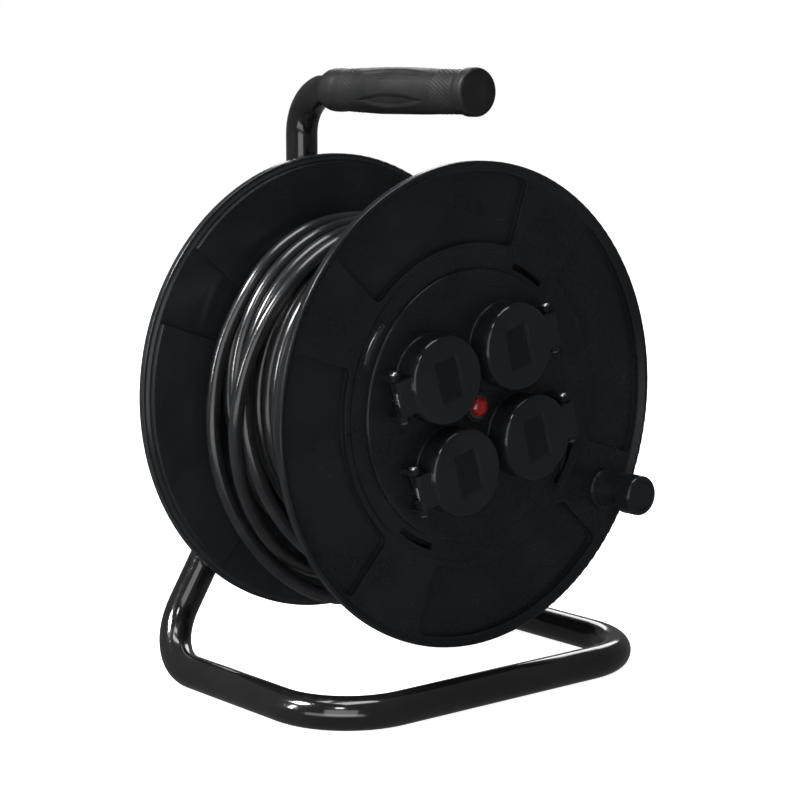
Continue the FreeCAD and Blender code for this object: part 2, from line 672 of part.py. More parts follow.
def reset_spring():
    coil = coil_spring(3.3, 0.4, 2.2, 16.5)
    coil.rotate(ORIGIN, X, -90)
    return moved(coil, 0, -67.4, 0)


# ---- crank knob ---------------------------------------------------------------------------------
KNOB_BASE = KNOB_SEAT - 0.2
KNOB_TIP = -103.0
KNOB_PIN_R = 3.5


def at_knob(shape):
    x, z = polar(KNOB_ORBIT_R, KNOB_ANGLE)
    return moved(shape, x, 0, z)


def crank_knob():
    """The winding knob: a thin foot, a waisted neck and a larger head with a rounded edge."""
    foot = KNOB_BASE - 1.8
    body = turned((0, KNOB_BASE), [
        (12.2, KNOB_BASE), (12.5, KNOB_BASE - 0.5), (12.5, foot), ((12.2, foot - 0.7), (11.4, foot - 1.0)),
        ((9.8, -80.0), (9.6, -87.6)), (11.6, -89.2), ((12.3, -90.0), (12.4, -91.0)), (12.4, -100.2),
        ((11.6, -102.2), (9.8, KNOB_TIP)), (0, KNOB_TIP)])
    body = body.cut(rod(KNOB_PIN_R + 0.06, -110, -60))
    return body.cut(rod(7.2, -110, -94.0)).cut(rod(9.0, -110, KNOB_TIP + 1.8))


def knob_cap():
    cap = rod(8.95, KNOB_TIP + 0.5, KNOB_TIP + 1.75)
    return cap.makeFillet(0.4, [e for e in cap.Edges if e.BoundBox.YMax < KNOB_TIP + 0.6])


def knob_pin():
    """The pin that the knob turns on, riveted into the flange."""
    pin = rod(KNOB_PIN_R, -97.2, WEB_BACK + 1.0)
    pin = pin.makeChamfer(0.6, [e for e in pin.Edges if e.BoundBox.YMax < -97.1])
    return pin.fuse(rod(6.9, WEB_BACK + 1.0, WEB_BACK + 2.8)).removeSplitter()


def knob_retainer():
    """The push-on washer that keeps the knob on its pin."""
    return ring(6.4, KNOB_PIN_R, -95.8, -94.6)


# ---- cable and its fittings ---------------------------------------------------------------------
PLUG_R = 16.8
PLUG_Y = 22.0
PLUG_ORBIT_R = 125.2
PLUG_ANGLE = -66.9
PLUG_HEADING = 26.0
PLUG_BACK, PLUG_FRONT, PLUG_TIP = -17.0, 17.0, 36.0
BOOT_BEND_R = 70.0
BOOT_TURN = 20.0


def cable_grommet():
    sleeve = post(6.95, -71.5, -68.0, 0, GROMMET_Y)
    lip = post(9.5, -68.4, -65.5, 0, GROMMET_Y).cut(rod(100, 0, 60).cut(rod(CORE_R - CORE_WALL, 0, 60)))
    return sleeve.fuse(lip).cut(post(CABLE_R + 0.02, -80, -60, 0, GROMMET_Y)).removeSplitter()


def cable_clamp():
    """The block that grips the cable on the tray, with its two screws' holes."""
    body = block(-13, 13, GROMMET_Y - 6, GROMMET_Y + 6, TRAY_TOP, TRAY_TOP + 8)
    upright = [e for e in body.Edges if abs(e.BoundBox.ZLength - 8) < 1e-6]
    body = body.makeFillet(2.0, upright).cut(post(CABLE_R + 0.02, -60, -30, 0, GROMMET_Y))
    for x in (-8.5, 8.5):
        body = body.cut(post(1.6, -60, -30, x, GROMMET_Y))
    return body


def cable_clamp_screws():
    screws = []
    for x in (-8.5, 8.5):
        top = TRAY_TOP + 8
        head = post(2.8, top, top + 2.0, x, GROMMET_Y)
        screws.append(head.fuse(post(1.28, TRAY_TOP - 4, top, x, GROMMET_Y)))
    return screws


def terminal_block():
    """The three-way terminal block over the cable's inner end, on two legs from the tray."""
    body = block(-22, 22, GROMMET_Y - 8, GROMMET_Y + 8, -36, -22)
    body = body.makeFillet(1.2, body.Edges)
    for x in (-20, 20):
        body = body.fuse(block(x - 2, x + 2, GROMMET_Y - 4, GROMMET_Y + 4, TRAY_TOP, -34))
    for x in (-13, 0, 13):
        body = body.cut(post(3.0, -26, -20, x, GROMMET_Y))
        body = body.cut(Part.makeCylinder(2.2, 6, Vector(x, GROMMET_Y - 9, -30), Y))
    return body.removeSplitter()


def terminal_screws():
    screws = []
    for x in (-13, 0, 13):
        screw = post(2.6, -26, -23.2, x, GROMMET_Y)
        screws.append(screw.cut(block(x - 3, x + 3, GROMMET_Y - 0.4, GROMMET_Y + 0.4, -24.0, -23)))
    return screws


def cable_inner_end():
    """The cable's inner end, from the winding through the grommet and the clamp to the terminal block."""
    return post(CABLE_R, -CORE_R - 0.1, -36.0, 0, GROMMET_Y)


WIRE_R = 1.4


def inner_wires():
    """Live, neutral and earth wires from the terminal block to the busbars."""
    start_y, start_z = GROMMET_Y - 8, -30.0
    half = SOCKET_PITCH / 2
    ends = [
        (-13.0, -12.0, -half - CONTACT_X, LIVE_Y + STRIP_T, -10.0),
        (0.0, -22.0, -half, EARTH_Y + STRIP_T, -4.0),
        (13.0, -12.0, half - CONTACT_X, NEUTRAL_Y + STRIP_T, -22.0),
    ]
    wires = []
    for x0, turn_y, x1, y1, z1 in ends:
        route = [Vector(x0, start_y, start_z), Vector(x0, turn_y, start_z), Vector(x1, turn_y, z1),
                 Vector(x1, y1, z1)]
        wires.append(pipe(route, [8.0, 8.0], WIRE_R)[0])
    return wires


COIL_GAP = 0.3


def wound_cable():
    """The winding's outer shape: a thick ring over the core, from flange to flange."""
    y1 = -WEB_BACK - POCKET_DEPTH - 1.2
    body = rod(COIL_R, -y1, y1)
    return body.cut(rod(CORE_R + COIL_GAP, -100, 100))


# The last turn's end: it leaves the winding at the left, hangs below it and ends at the plug's boot.
TAIL_ROUTE = [
    (-92.0, 51.5, 42.9),
    (-99.9, 52.0, 23.1),
    (-104.2, 52.5, -1.8),
    (-104.5, 52.0, -28.0),
    (-99.5, 50.0, -54.5),
    (-89.5, 46.0, -79.5),
    (-75.0, 40.0, -101.0),
    (-56.5, 33.0, -118.5),
    (-34.0, 27.0, -129.5),
    (-9.4, PLUG_Y, -131.4),
]


def cable_tail():
    points = [Vector(*p) for p in TAIL_ROUTE] + [boot_station(BOOT_TURN)]
    bends = []
    for before, corner, after in zip(points, points[1:], points[2:]):
        into, out = corner.sub(before), after.sub(corner)
        bends.append(0.45 * min(into.Length, out.Length) / math.tan(into.getAngle(out) / 2))
    solid, length = pipe(points, bends, CABLE_R)
    print("cable tail bend radii", [round(b, 1) for b in bends])
    section = math.pi * CABLE_R ** 2
    print("cable tail volume", round(solid.Volume), "section times length", round(section * length))
    return solid


def about_plug(shape):
    """Turns a shape drawn along Y, pins towards +Y, to lie against the winding below the drum."""
    out = shape.copy()
    out.rotate(ORIGIN, Z, -90)
    x, z = polar(PLUG_ORBIT_R, PLUG_ANGLE)
    return moved(spun(out, PLUG_HEADING), x, PLUG_Y, z)


def boot_centre():
    """The centre of the bend in the boot."""
    x, z = polar(PLUG_ORBIT_R, PLUG_ANGLE)
    ahead_x, ahead_z = polar(PLUG_BACK, PLUG_HEADING)
    in_x, in_z = polar(BOOT_BEND_R, PLUG_HEADING + 90)
    return x + ahead_x + in_x, z + ahead_z + in_z


def boot_station(back):
    """The point on the boot's centre line that lies this many degrees of bend behind the plug."""
    x, z = boot_centre()
    out_x, out_z = polar(BOOT_BEND_R, PLUG_HEADING - 90 - back)
    return Vector(x + out_x, PLUG_Y, z + out_z)


def plug_body():
    """The moulded plug: a round body with a flat at each side of its front."""
    back, front = PLUG_BACK, PLUG_FRONT
    body = turned((0, back), [
        (10.5, back), ((13.6, back + 1.0), (15.2, back + 4.0)), ((16.4, back + 8.0), (PLUG_R, back + 13.0)),
        (PLUG_R, front - 3.0), ((16.4, front - 0.8), (15.0, front)), (0, front)])
    for side in (-1, 1):
        z0, z1 = sorted((side * 14.6, side * 30))
        body = body.cut(block(-4.5, 4.5, front - 17, front + 1, z0, z1))
    return about_plug(body)


def plug_pins():
    pins = []
    for side in (-1, 1):
        pin = rod(2.4, PLUG_FRONT, PLUG_TIP, side * CONTACT_X, 0)
        pin = pin.makeFillet(1.6, [e for e in pin.Edges if e.BoundBox.YMin > PLUG_TIP - 0.1])
        pins.append(about_plug(pin))
    return pins


def plug_boot():
    """The strain relief behind the plug: a bent sleeve with rings that get smaller towards the cable."""
    x, z = boot_centre()
    start = boot_station(BOOT_TURN)
    tangent = polar(1.0, PLUG_HEADING - BOOT_TURN)
    profile = Part.Face(Part.Wire(Part.makeCircle(5.8, start, Vector(tangent[0], 0, tangent[1]))))
    boot = profile.revolve(Vector(x, PLUG_Y, z), -Y, BOOT_TURN)
    count = 6
    for k in range(count):
        back = (k + 0.5) * BOOT_TURN / count
        place = boot_station(back)
        tangent = polar(1.0, PLUG_HEADING - back)
        along = Vector(tangent[0], 0, tangent[1])
        thick = 2.6
        boot = boot.fuse(Part.makeCylinder(9.2 - 0.5 * k, thick, place.sub(along * (thick / 2)), along))
    return boot


# ---- put everything in its place and write it ---------------------------------------------------
def add(name, shapes, place=None):
    """Keeps one named part; a list of solids becomes one part of separate solids."""
    shapes = shapes if isinstance(shapes, list) else [shapes]
    solids = []
    for shape in shapes:
        shape = place(shape) if place else shape
        solids += shape.Solids
    parts[name] = solids[0] if len(solids) == 1 else Part.makeCompound(solids)


def build_frame():
    add("frame_tube", frame_tube())
    add("handle_grip", handle_grip())
    add("tube_end_cap", tube_end_cap())
    front, rear = hub_clamps()
    add("hub_clamp_front", front, on_frame)
    add("hub_clamp_rear", rear, on_frame)
    add("clamp_screws", clamp_screws(), on_frame)
    add("clamp_nuts", clamp_nuts(), on_frame)
    add("axle", axle(), on_frame)
    washer, nut, clip, thrust = axle_fasteners()
    add("axle_washer", washer, on_frame)
    add("axle_nut", nut, on_frame)
    add("axle_clip", clip, on_frame)
    add("thrust_washer", thrust, on_frame)


def build_drum():
    add("front_flange", front_flange(), in_reel)
    add("rear_flange", rear_flange(), in_reel)
    add("drum_core", drum_core(), in_reel)
    add("front_bush", bush(BEARING_FRONT), in_reel)
    add("rear_bush", bush(-WEB_FRONT), in_reel)
    add("flange_screws", flange_screws(), in_reel)
    add("socket_panel", socket_panel(), in_reel)
    add("panel_screws", panel_screws(), in_reel)
    add("pin_contacts", pin_contacts(), in_reel)
    add("earth_clips", earth_clips(), in_reel)
    add("live_busbar", live_busbar(), in_reel)
    add("neutral_busbar", neutral_busbar(), in_reel)
    add("earth_busbar", earth_busbar(), in_reel)
    add("thermal_cutout", thermal_cutout(), in_reel)
    add("cutout_ring", cutout_ring(), in_reel)
    add("reset_button", reset_button(), in_reel)
    add("reset_spring", reset_spring(), in_reel)


def build_lids():
    for name in SOCKETS:
        add("socket_insert_" + name, at_socket(socket_insert(), name), in_reel)
        add("lid_" + name, at_socket(lid(), name), in_reel)
        add("lid_seal_" + name, at_socket(lid_seal(), name), in_reel)
    add("lid_pins", [at_socket(lid_pin(), name) for name in SOCKETS], in_reel)
    add("lid_springs", [at_socket(lid_spring(), name) for name in SOCKETS], in_reel)


def build_knob():
    add("knob_pin", at_knob(knob_pin()), in_reel)
    add("knob_retainer", at_knob(knob_retainer()), in_reel)
    add("crank_knob", at_knob(crank_knob()), in_reel)
    add("knob_cap", at_knob(knob_cap()), in_reel)


def build_cable():
    add("cable_grommet", cable_grommet(), in_reel)
    add("cable_clamp", cable_clamp(), in_reel)
    add("cable_clamp_screws", cable_clamp_screws(), in_reel)
    add("terminal_block", terminal_block(), in_reel)
    add("terminal_screws", terminal_screws(), in_reel)
    add("cable_inner_end", cable_inner_end(), in_reel)
    add("inner_wires", inner_wires(), in_reel)
    add("wound_cable", wound_cable(), on_frame)
    add("cable_tail", cable_tail(), on_frame)
    add("plug_body", plug_body(), on_frame)
    add("plug_pins", plug_pins(), on_frame)
    add("plug_boot", plug_boot(), on_frame)


def main():
    build_frame()
    build_drum()
    build_lids()
    build_knob()
    build_cable()
    os.makedirs("parts", exist_ok=True)
    for name, shape in parts.items():
        bad = [s for s in shape.Solids if not s.isValid() or s.Volume <= 0]
        if bad:
            print("not a valid solid:", name)
        shape.exportStep("parts/" + name + ".step")
    print(len(parts), "parts")


main()
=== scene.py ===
"""The looks of an extension cord reel: cable wound on its drum, moulded grip, materials, stage and camera."""
import json
import math

import bpy
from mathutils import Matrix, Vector


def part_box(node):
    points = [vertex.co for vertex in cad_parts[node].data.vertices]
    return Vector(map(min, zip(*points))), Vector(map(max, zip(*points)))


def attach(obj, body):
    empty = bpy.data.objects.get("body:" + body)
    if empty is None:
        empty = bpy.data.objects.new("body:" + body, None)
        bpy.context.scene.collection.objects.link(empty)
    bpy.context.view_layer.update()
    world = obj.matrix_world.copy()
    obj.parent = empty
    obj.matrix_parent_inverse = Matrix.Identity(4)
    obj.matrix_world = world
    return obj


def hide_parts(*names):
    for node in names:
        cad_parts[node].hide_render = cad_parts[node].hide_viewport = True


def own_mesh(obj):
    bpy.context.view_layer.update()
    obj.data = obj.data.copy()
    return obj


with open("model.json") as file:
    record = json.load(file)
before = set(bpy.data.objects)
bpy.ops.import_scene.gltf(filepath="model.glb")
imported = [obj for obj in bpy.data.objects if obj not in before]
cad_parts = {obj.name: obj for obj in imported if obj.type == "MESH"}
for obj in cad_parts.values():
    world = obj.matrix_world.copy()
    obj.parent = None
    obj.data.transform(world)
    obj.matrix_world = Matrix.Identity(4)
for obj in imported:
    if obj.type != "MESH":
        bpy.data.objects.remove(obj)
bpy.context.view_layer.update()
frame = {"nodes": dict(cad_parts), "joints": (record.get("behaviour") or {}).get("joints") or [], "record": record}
nodes = frame["nodes"]
record = frame["record"]


def joint(name):
    return next(j for j in frame["joints"] if j["name"] == name)


# ---- camera -------------------------------------------------------------------------------------
CAMERA_PLACE = Vector((-0.8773, -1.0566, 0.3780))
CAMERA_AZIMUTH = math.radians(-39.62)
CAMERA_ELEVATION = math.radians(8.57)
CAMERA_LENS = 101.5

TOWARDS_CAMERA = Vector((
    math.sin(CAMERA_AZIMUTH) * math.cos(CAMERA_ELEVATION),
    -math.cos(CAMERA_AZIMUTH) * math.cos(CAMERA_ELEVATION),
    math.sin(CAMERA_ELEVATION)))


def make_camera():
    data = bpy.data.cameras.new("camera")
    data.lens = CAMERA_LENS
    data.sensor_width = 36.0
    data.clip_start = 0.05
    data.clip_end = 60.0
    camera = bpy.data.objects.new("camera", data)
    camera.location = CAMERA_PLACE
    camera.rotation_mode = "QUATERNION"
    camera.rotation_quaternion = (-TOWARDS_CAMERA).to_track_quat("-Z", "Y")
    bpy.context.scene.collection.objects.link(camera)
    bpy.context.scene.camera = camera


make_camera()


# ---- node materials -----------------------------------------------------------------------------
def add_node(tree, kind, inputs=None, **settings):
    """A node with its settings, and each input either a plain value or another node's output."""
    node = tree.nodes.new(kind)
    for name, value in settings.items():
        setattr(node, name, value)
    for name, value in (inputs or {}).items():
        if isinstance(value, bpy.types.NodeSocket):
            tree.links.new(value, node.inputs[name])
        else:
            node.inputs[name].default_value = value
    return node


def noise(tree, place, scale, detail=4.0, stretch=(1.0, 1.0, 1.0)):
    """Even noise, about 0.5 on average, over a place that may be stretched along its axes."""
    mapping = add_node(tree, "ShaderNodeMapping", {"Vector": place, "Scale": stretch})
    made = add_node(tree, "ShaderNodeTexNoise", {
        "Vector": mapping.outputs["Vector"], "Scale": scale, "Detail": detail, "Roughness": 0.55})
    return made.outputs["Fac"]


def spread(tree, value, low, high, to_low, to_high):
    """The value mapped from one range to another, and held within it."""
    made = add_node(tree, "ShaderNodeMapRange", {
        "Value": value, "From Min": low, "From Max": high, "To Min": to_low, "To Max": to_high})
    return made.outputs["Result"]


def arithmetic(tree, operation, first, second):
    made = add_node(tree, "ShaderNodeMath", {0: first, 1: second}, operation=operation)
    return made.outputs["Value"]


def blended(tree, share, first, second):
    """The first colour where the share is 0, and the second where it is 1."""
    made = add_node(tree, "ShaderNodeMix", {0: share, 6: first, 7: second}, data_type="RGBA")
    return made.outputs[2]


# How nearly the two normals agree where an edge starts to show wear, and where it is fully worn.
EDGE_LEAN = (0.995, 0.93)


def worn_edges(tree, soft_normal):
    """1 on edges and corners, where the softened normal leans away from the flat one, and 0 elsewhere."""
    geometry = add_node(tree, "ShaderNodeNewGeometry")
    lean = add_node(tree, "ShaderNodeVectorMath", {
        0: soft_normal, 1: geometry.outputs["Normal"]}, operation="DOT_PRODUCT")
    return spread(tree, lean.outputs["Value"], *EDGE_LEAN, 0.0, 1.0)


# A face whose normal has less than this across the drum counts as flat and towards the front.
FLAT_FORWARD = -0.97


def recess_floor_share(tree, place, start, end):
    """1 on a piece's flat faces towards the front that lie between two places across the drum, else 0."""
    across = add_node(tree, "ShaderNodeSeparateXYZ", {"Vector": place}).outputs["Y"]
    normal = add_node(tree, "ShaderNodeTexCoord").outputs["Normal"]
    facing = add_node(tree, "ShaderNodeSeparateXYZ", {"Vector": normal}).outputs["Y"]
    inside = arithmetic(tree, "MULTIPLY", arithmetic(tree, "GREATER_THAN", across, start),
                        arithmetic(tree, "LESS_THAN", across, end))
    return arithmetic(tree, "MULTIPLY", inside, arithmetic(tree, "LESS_THAN", facing, FLAT_FORWARD))


# Fine detail that all surfaces share. Specks are this much finer than the patches, scratches are drawn out
# along the first axis and make the surface duller, waves belong to large mouldings, and worn edges are
# paler than the palest tone. The floor of a shallow recess is glossier, and darker with painted shade.
SPECKS_PER_PATCH = 22
SCRATCH_SCALE = 900.0
SCRATCH_STRETCH = (0.05, 1.0, 1.0)
SCRATCH_DULLING = 0.12
WAVE_SCALE = 11.0
EDGE_PALING = 2.2
RECESS_PAINTED_SHADE = 0.7
POLISH_GLOSS = 0.06


def surface(name, colour, pale, roughness, grain=(900.0, 0.00004), specular=0.3, metallic=0.0,
            coat=0.0, coat_roughness=0.1, patch=28.0, edge=0.0005, scratch=0.35, warp=0.0, polished=None):
    """A surface with patchy colour, uneven gloss, fine scratches, a moulded or rolled grain and worn edges.

    colour and pale are the darkest and the lightest tone, roughness the glossiest and the dullest value,
    grain the texture's scale and its depth in metres, patch the scale of the colour's patches, edge the
    width in metres of the softened edges, scratch how strongly scratches show, and warp the depth in
    metres of the broad waves that a large moulding has. The last argument gives the span across the drum
    (from, to) in which flat forward faces are glossier, and darker with painted shade.
    """
    material = bpy.data.materials.new(name)
    material.use_nodes = True
    tree = material.node_tree
    shader = tree.nodes["Principled BSDF"]
    place = add_node(tree, "ShaderNodeTexCoord").outputs["Object"]
    patches = noise(tree, place, patch, 6.0)
    specks = noise(tree, place, patch * SPECKS_PER_PATCH, 3.0)
    lines = spread(tree, noise(tree, place, SCRATCH_SCALE, 2.0, SCRATCH_STRETCH), 0.60, 0.70, 0.0, 1.0)
    soft = add_node(tree, "ShaderNodeBevel", {"Radius": edge}, samples=4).outputs["Normal"]
    edges = worn_edges(tree, soft)

    tone = spread(tree, arithmetic(tree, "ADD", patches, arithmetic(tree, "MULTIPLY", specks, 0.5)),
                  0.50, 0.95, 0.0, 1.0)
    edge_colour = tuple(min(1.0, EDGE_PALING * c) for c in pale) + (1.0,)
    shade = blended(tree, tone, colour + (1.0,), pale + (1.0,))
    wear = arithmetic(tree, "MULTIPLY", edges, spread(tree, specks, 0.35, 0.6, 0.15, 0.7))
    shade = blended(tree, wear, shade, edge_colour)

    gloss = spread(tree, patches, 0.3, 0.7, roughness[0], roughness[1])
    scuffed = arithmetic(tree, "ADD", gloss, arithmetic(tree, "MULTIPLY", lines, SCRATCH_DULLING * scratch))
    # Painted shade: the floor of a shallow recess is darkened, as well as made glossier.
    if polished:
        shaded_floor = recess_floor_share(tree, place, *polished)
        shade = blended(tree, shaded_floor, shade, tuple(RECESS_PAINTED_SHADE * c for c in colour) + (1.0,))
        scuffed = arithmetic(tree, "SUBTRACT", scuffed, arithmetic(tree, "MULTIPLY", shaded_floor, POLISH_GLOSS))
    tree.links.new(shade, shader.inputs["Base Color"])
    tree.links.new(scuffed, shader.inputs["Roughness"])

    height = arithmetic(tree, "SUBTRACT", noise(tree, place, grain[0], 2.0),
                        arithmetic(tree, "MULTIPLY", lines, scratch))
    waves = add_node(tree, "ShaderNodeBump", {
        "Strength": 1.0, "Distance": warp, "Height": noise(tree, place, WAVE_SCALE, 1.0), "Normal": soft})
    bump = add_node(tree, "ShaderNodeBump", {
        "Strength": 1.0, "Distance": grain[1], "Height": height, "Normal": waves.outputs["Normal"]})
    tree.links.new(bump.outputs["Normal"], shader.inputs["Normal"])

    shader.inputs["Metallic"].default_value = metallic
    shader.inputs["Specular IOR Level"].default_value = specular
    shader.inputs["Coat Weight"].default_value = coat
    shader.inputs["Coat Roughness"].default_value = coat_roughness
    return material


def lens_surface(name):
    """The reset button's tinted, translucent plastic, with a faint painted glow though it is no lamp."""
    material = surface(name, (0.14, 0.003, 0.003), (0.30, 0.008, 0.007), (0.10, 0.18), (1400.0, 0.00002),
                       specular=0.5, coat=0.8, coat_roughness=0.05, edge=0.0003)
    shader = material.node_tree.nodes["Principled BSDF"]
    shader.inputs["Transmission Weight"].default_value = 0.35
    # Painted glow: the plastic glows faintly red.
    shader.inputs["Emission Color"].default_value = (1.0, 0.05, 0.03, 1.0)
    shader.inputs["Emission Strength"].default_value = 0.03
    return material


# Where across the drum the floor of the shallow recess in a closed lid's face lies.
RECESS_DEPTH = 0.0012
RECESS_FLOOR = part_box("lid_upper_left")[0].y + RECESS_DEPTH
RECESS_SPAN = (RECESS_FLOOR - 0.0004, RECESS_FLOOR + 0.0004)

MATERIALS = {
    "black_lacquered_tube": surface(
        "black_lacquered_tube", (0.003, 0.003, 0.0034), (0.008, 0.008, 0.0085), (0.10, 0.17),
        (260.0, 0.00004), specular=0.5, coat=0.7, coat_roughness=0.04, scratch=0.4),
    "grip_rubber": surface(
        "grip_rubber", (0.0075, 0.0077, 0.0080), (0.0145, 0.0148, 0.0155), (0.40, 0.52), (1500.0, 0.00005),
        specular=0.20, patch=45.0, scratch=0.2),
    "black_plastic": surface(
        "black_plastic", (0.0058, 0.0067, 0.0077), (0.0096, 0.0107, 0.0120), (0.18, 0.28), (700.0, 0.00002),
        specular=0.23, scratch=0.12, warp=0.0005),
    "satin_black_plastic": surface(
        "satin_black_plastic", (0.007, 0.008, 0.009), (0.011, 0.012, 0.0135), (0.14, 0.22), (900.0, 0.00001),
        specular=0.30, scratch=0.12, warp=0.0001),
    # The lids' plastic is glossier, and painted shade darkens the floor of each lid's recess.
    "lid_plastic": surface(
        "lid_plastic", (0.0060, 0.0070, 0.0080), (0.0095, 0.0105, 0.0120), (0.10, 0.17), (900.0, 0.00001),
        specular=0.36, scratch=0.12, warp=0.0001, polished=RECESS_SPAN),
    # The rear flange's plastic is the black plastic made paler: painted light, standing in for the light that the
    # front flange and the winding keep from it.
    "rear_flange_painted_light_plastic": surface(
        "rear_flange_painted_light_plastic", (0.0095, 0.0106, 0.0118), (0.0145, 0.0158, 0.0173), (0.18, 0.28),
        (700.0, 0.00002), specular=0.27, scratch=0.12, warp=0.0005),
    "insert_plastic": surface(
        "insert_plastic", (0.018, 0.018, 0.020), (0.040, 0.040, 0.043), (0.42, 0.52), specular=0.4),
    "seal_rubber": surface(
        "seal_rubber", (0.012, 0.012, 0.012), (0.035, 0.035, 0.034), (0.60, 0.75), specular=0.3),
    "cable_rubber": surface(
        "cable_rubber", (0.007, 0.0074, 0.0082), (0.014, 0.0146, 0.016), (0.16, 0.24), (1100.0, 0.00002),
        specular=0.62, patch=55.0, edge=0.0003, scratch=0.2),
    "wire_sleeving": surface(
        "wire_sleeving", (0.10, 0.045, 0.014), (0.16, 0.08, 0.03), (0.30, 0.40), specular=0.5),
    "steel": surface(
        "steel", (0.46, 0.47, 0.49), (0.66, 0.66, 0.67), (0.20, 0.34), (700.0, 0.00002),
        specular=0.5, metallic=1.0, patch=160.0, edge=0.0002),
    "contact_brass": surface(
        "contact_brass", (0.55, 0.36, 0.12), (0.80, 0.60, 0.28), (0.24, 0.38), specular=0.5, metallic=1.0,
        patch=120.0, edge=0.0002),
    "pin_metal": surface(
        "pin_metal", (0.58, 0.58, 0.60), (0.80, 0.80, 0.80), (0.12, 0.22), (700.0, 0.00001),
        specular=0.5, metallic=1.0, patch=150.0, edge=0.0002),
    "red_lens": lens_surface("red_lens"),
    "bush_nylon": surface(
        "bush_nylon", (0.55, 0.54, 0.49), (0.74, 0.73, 0.68), (0.38, 0.48), specular=0.45),
}


# Mouldings whose surface differs from the rest of their plastic: the lids are glossier, with painted shade on
# their recess floors, and the rear flange is a paler copy of the black plastic, painted light for the light it
# lacks.
FINISH_AND_PAINTED_LIGHT = {
    "rear_flange": "rear_flange_painted_light_plastic",
    "lid_upper_left": "lid_plastic",
    "lid_upper_right": "lid_plastic",
    "lid_lower_left": "lid_plastic",
    "lid_lower_right": "lid_plastic"}


def dress_cad_nodes():
    """Give each CAD piece its own surface, some with painted light or shade, or else the material of its slot in
    the record.
    """
    slots = {piece["node"]: piece["material_slot"] for piece in record["subparts"]}
    for name, thing in nodes.items():
        thing.data.materials.clear()
        thing.data.materials.append(MATERIALS[FINISH_AND_PAINTED_LIGHT.get(name, slots[name])])


dress_cad_nodes()


# ---- the cable ----------------------------------------------------------------------------------
CABLE_DIAMETER = 0.009
POINTS_PER_TURN = 30
# The place where the cable leaves the core: its angle round the axle, and metres behind the drum's middle.
FIRST_ANGLE = math.radians(-75.0)
AXIS = Vector(joint("drum_spin")["pos_m"])
core_low, core_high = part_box("drum_core")
CORE_RADIUS = (core_high.x - core_low.x) / 2

# Where the cable lies across the drum as it is wound on: (turns so far, metres behind the drum's middle).
# Three layers go to and fro, the fourth fills up behind the front flange, and the last turns lie loosely.
LAYING = [
    (0.00, 0.0300), (0.60, 0.0562), (12.80, -0.0562), (25.00, 0.0562), (36.80, -0.0520),
    (40.60, -0.0170), (41.36, 0.0370), (41.66, 0.0390), (41.84, 0.0250), (41.98, 0.0140),
    (42.22, 0.0190), (42.42, 0.0260), (42.66, 0.0265), (42.82, 0.0140), (42.98, 0.0010),
    (43.20, 0.0040), (43.42, 0.0130), (43.66, 0.0140), (43.90, 0.0380), (44.04, 0.0400),
    (44.32, 0.0460), (44.64, 0.0480)]

# Where a loose turn stands off the winding: (turns so far, width in turns, height).
SAGS = [(43.92, 0.12, 0.0130), (42.92, 0.12, 0.0040)]

# How far apart two strands' centres lie: the soft sheath gives a little where they press on each other.
STACKING = 0.0087

# The stiff cable climbs over a crossing strand, and comes down behind it, by at most this much per point.
# It feels a strand in its way this many points ahead.
CLIMB = 0.0022
POINTS_AHEAD = 4

# The furthest that the cable's centre goes to either side of the drum's middle.
ACROSS_LIMIT = 0.0566

# How far a new strand may slip sideways to rest lower, and what a slip and a change of slip cost in height.
SLIPS = [0.0005 * step for step in range(-6, 7)]
SLIP_COST = 0.25
SLIP_CHANGE_COST = 0.9

# How often neighbouring points are drawn together, across the drum and in radius.
ACROSS_PASSES = 3
RADIUS_PASSES = 4

# The cable's free end, from the winding's last point down to the plug's strain relief.
TAIL_ROUTE = [
    (-0.0920, 0.0543, 0.2179), (-0.0999, 0.0548, 0.1981), (-0.1042, 0.0553, 0.1732),
    (-0.1045, 0.0548, 0.1470), (-0.0995, 0.0528, 0.1205), (-0.0895, 0.0488, 0.0955),
    (-0.0750, 0.0428, 0.0740), (-0.0565, 0.0358, 0.0565), (-0.0340, 0.0298, 0.0455),
    (-0.0094, 0.0248, 0.0436), (0.0105, 0.0248, 0.0457)]


def laid_at(turn):
    """Where across the drum the cable lies after this many turns."""
    for (start, first), (end, last) in zip(LAYING, LAYING[1:]):
        if turn <= end:
            return first + (last - first) * (turn - start) / (end - start)
    return LAYING[-1][1]


def resting_radius(across, below):
    """How far from the axis the cable's centre comes to rest on the core and the strands already there."""
    radius = CORE_RADIUS + CABLE_DIAMETER / 2
    for other_across, other_radius in below:
        apart = abs(across - other_across)
        if apart < STACKING:
            radius = max(radius, other_radius + math.sqrt(STACKING ** 2 - apart ** 2))
    return radius


def wind():
    """(turn, place across, radius) of every point, where each strand slips towards the nearest groove."""
    strands = [[] for _ in range(POINTS_PER_TURN)]
    slip = 0.0
    wound = []
    for index in range(round(LAYING[-1][0] * POINTS_PER_TURN) + 1):
        turn = index / POINTS_PER_TURN
        below = strands[index % POINTS_PER_TURN]
        planned = laid_at(turn)
        choices = []
        for wish in SLIPS:
            across = max(-ACROSS_LIMIT, min(ACROSS_LIMIT, planned + wish))
            radius = resting_radius(across, below)
            effort = radius + SLIP_COST * abs(wish) + SLIP_CHANGE_COST * abs(wish - slip)
            choices.append((effort, across, radius, wish))
        _, across, radius, slip = min(choices)
        if wound:
            radius = max(radius, wound[-1][2] - CLIMB)
        for ahead in range(1, POINTS_AHEAD + 1):
            coming = resting_radius(across, strands[(index + ahead) % POINTS_PER_TURN])
            radius = max(radius, coming - ahead * CLIMB)
        below.append((across, radius))
        wound.append((turn, across, radius))
    return wound


def evened(values, passes):
    """A list of numbers with each one drawn towards its neighbours, and both ends kept."""
    for _ in range(passes):
        inner = [(a + 2 * b + c) / 4 for a, b, c in zip(values, values[1:], values[2:])]
        values = [values[0]] + inner + [values[-1]]
    return values


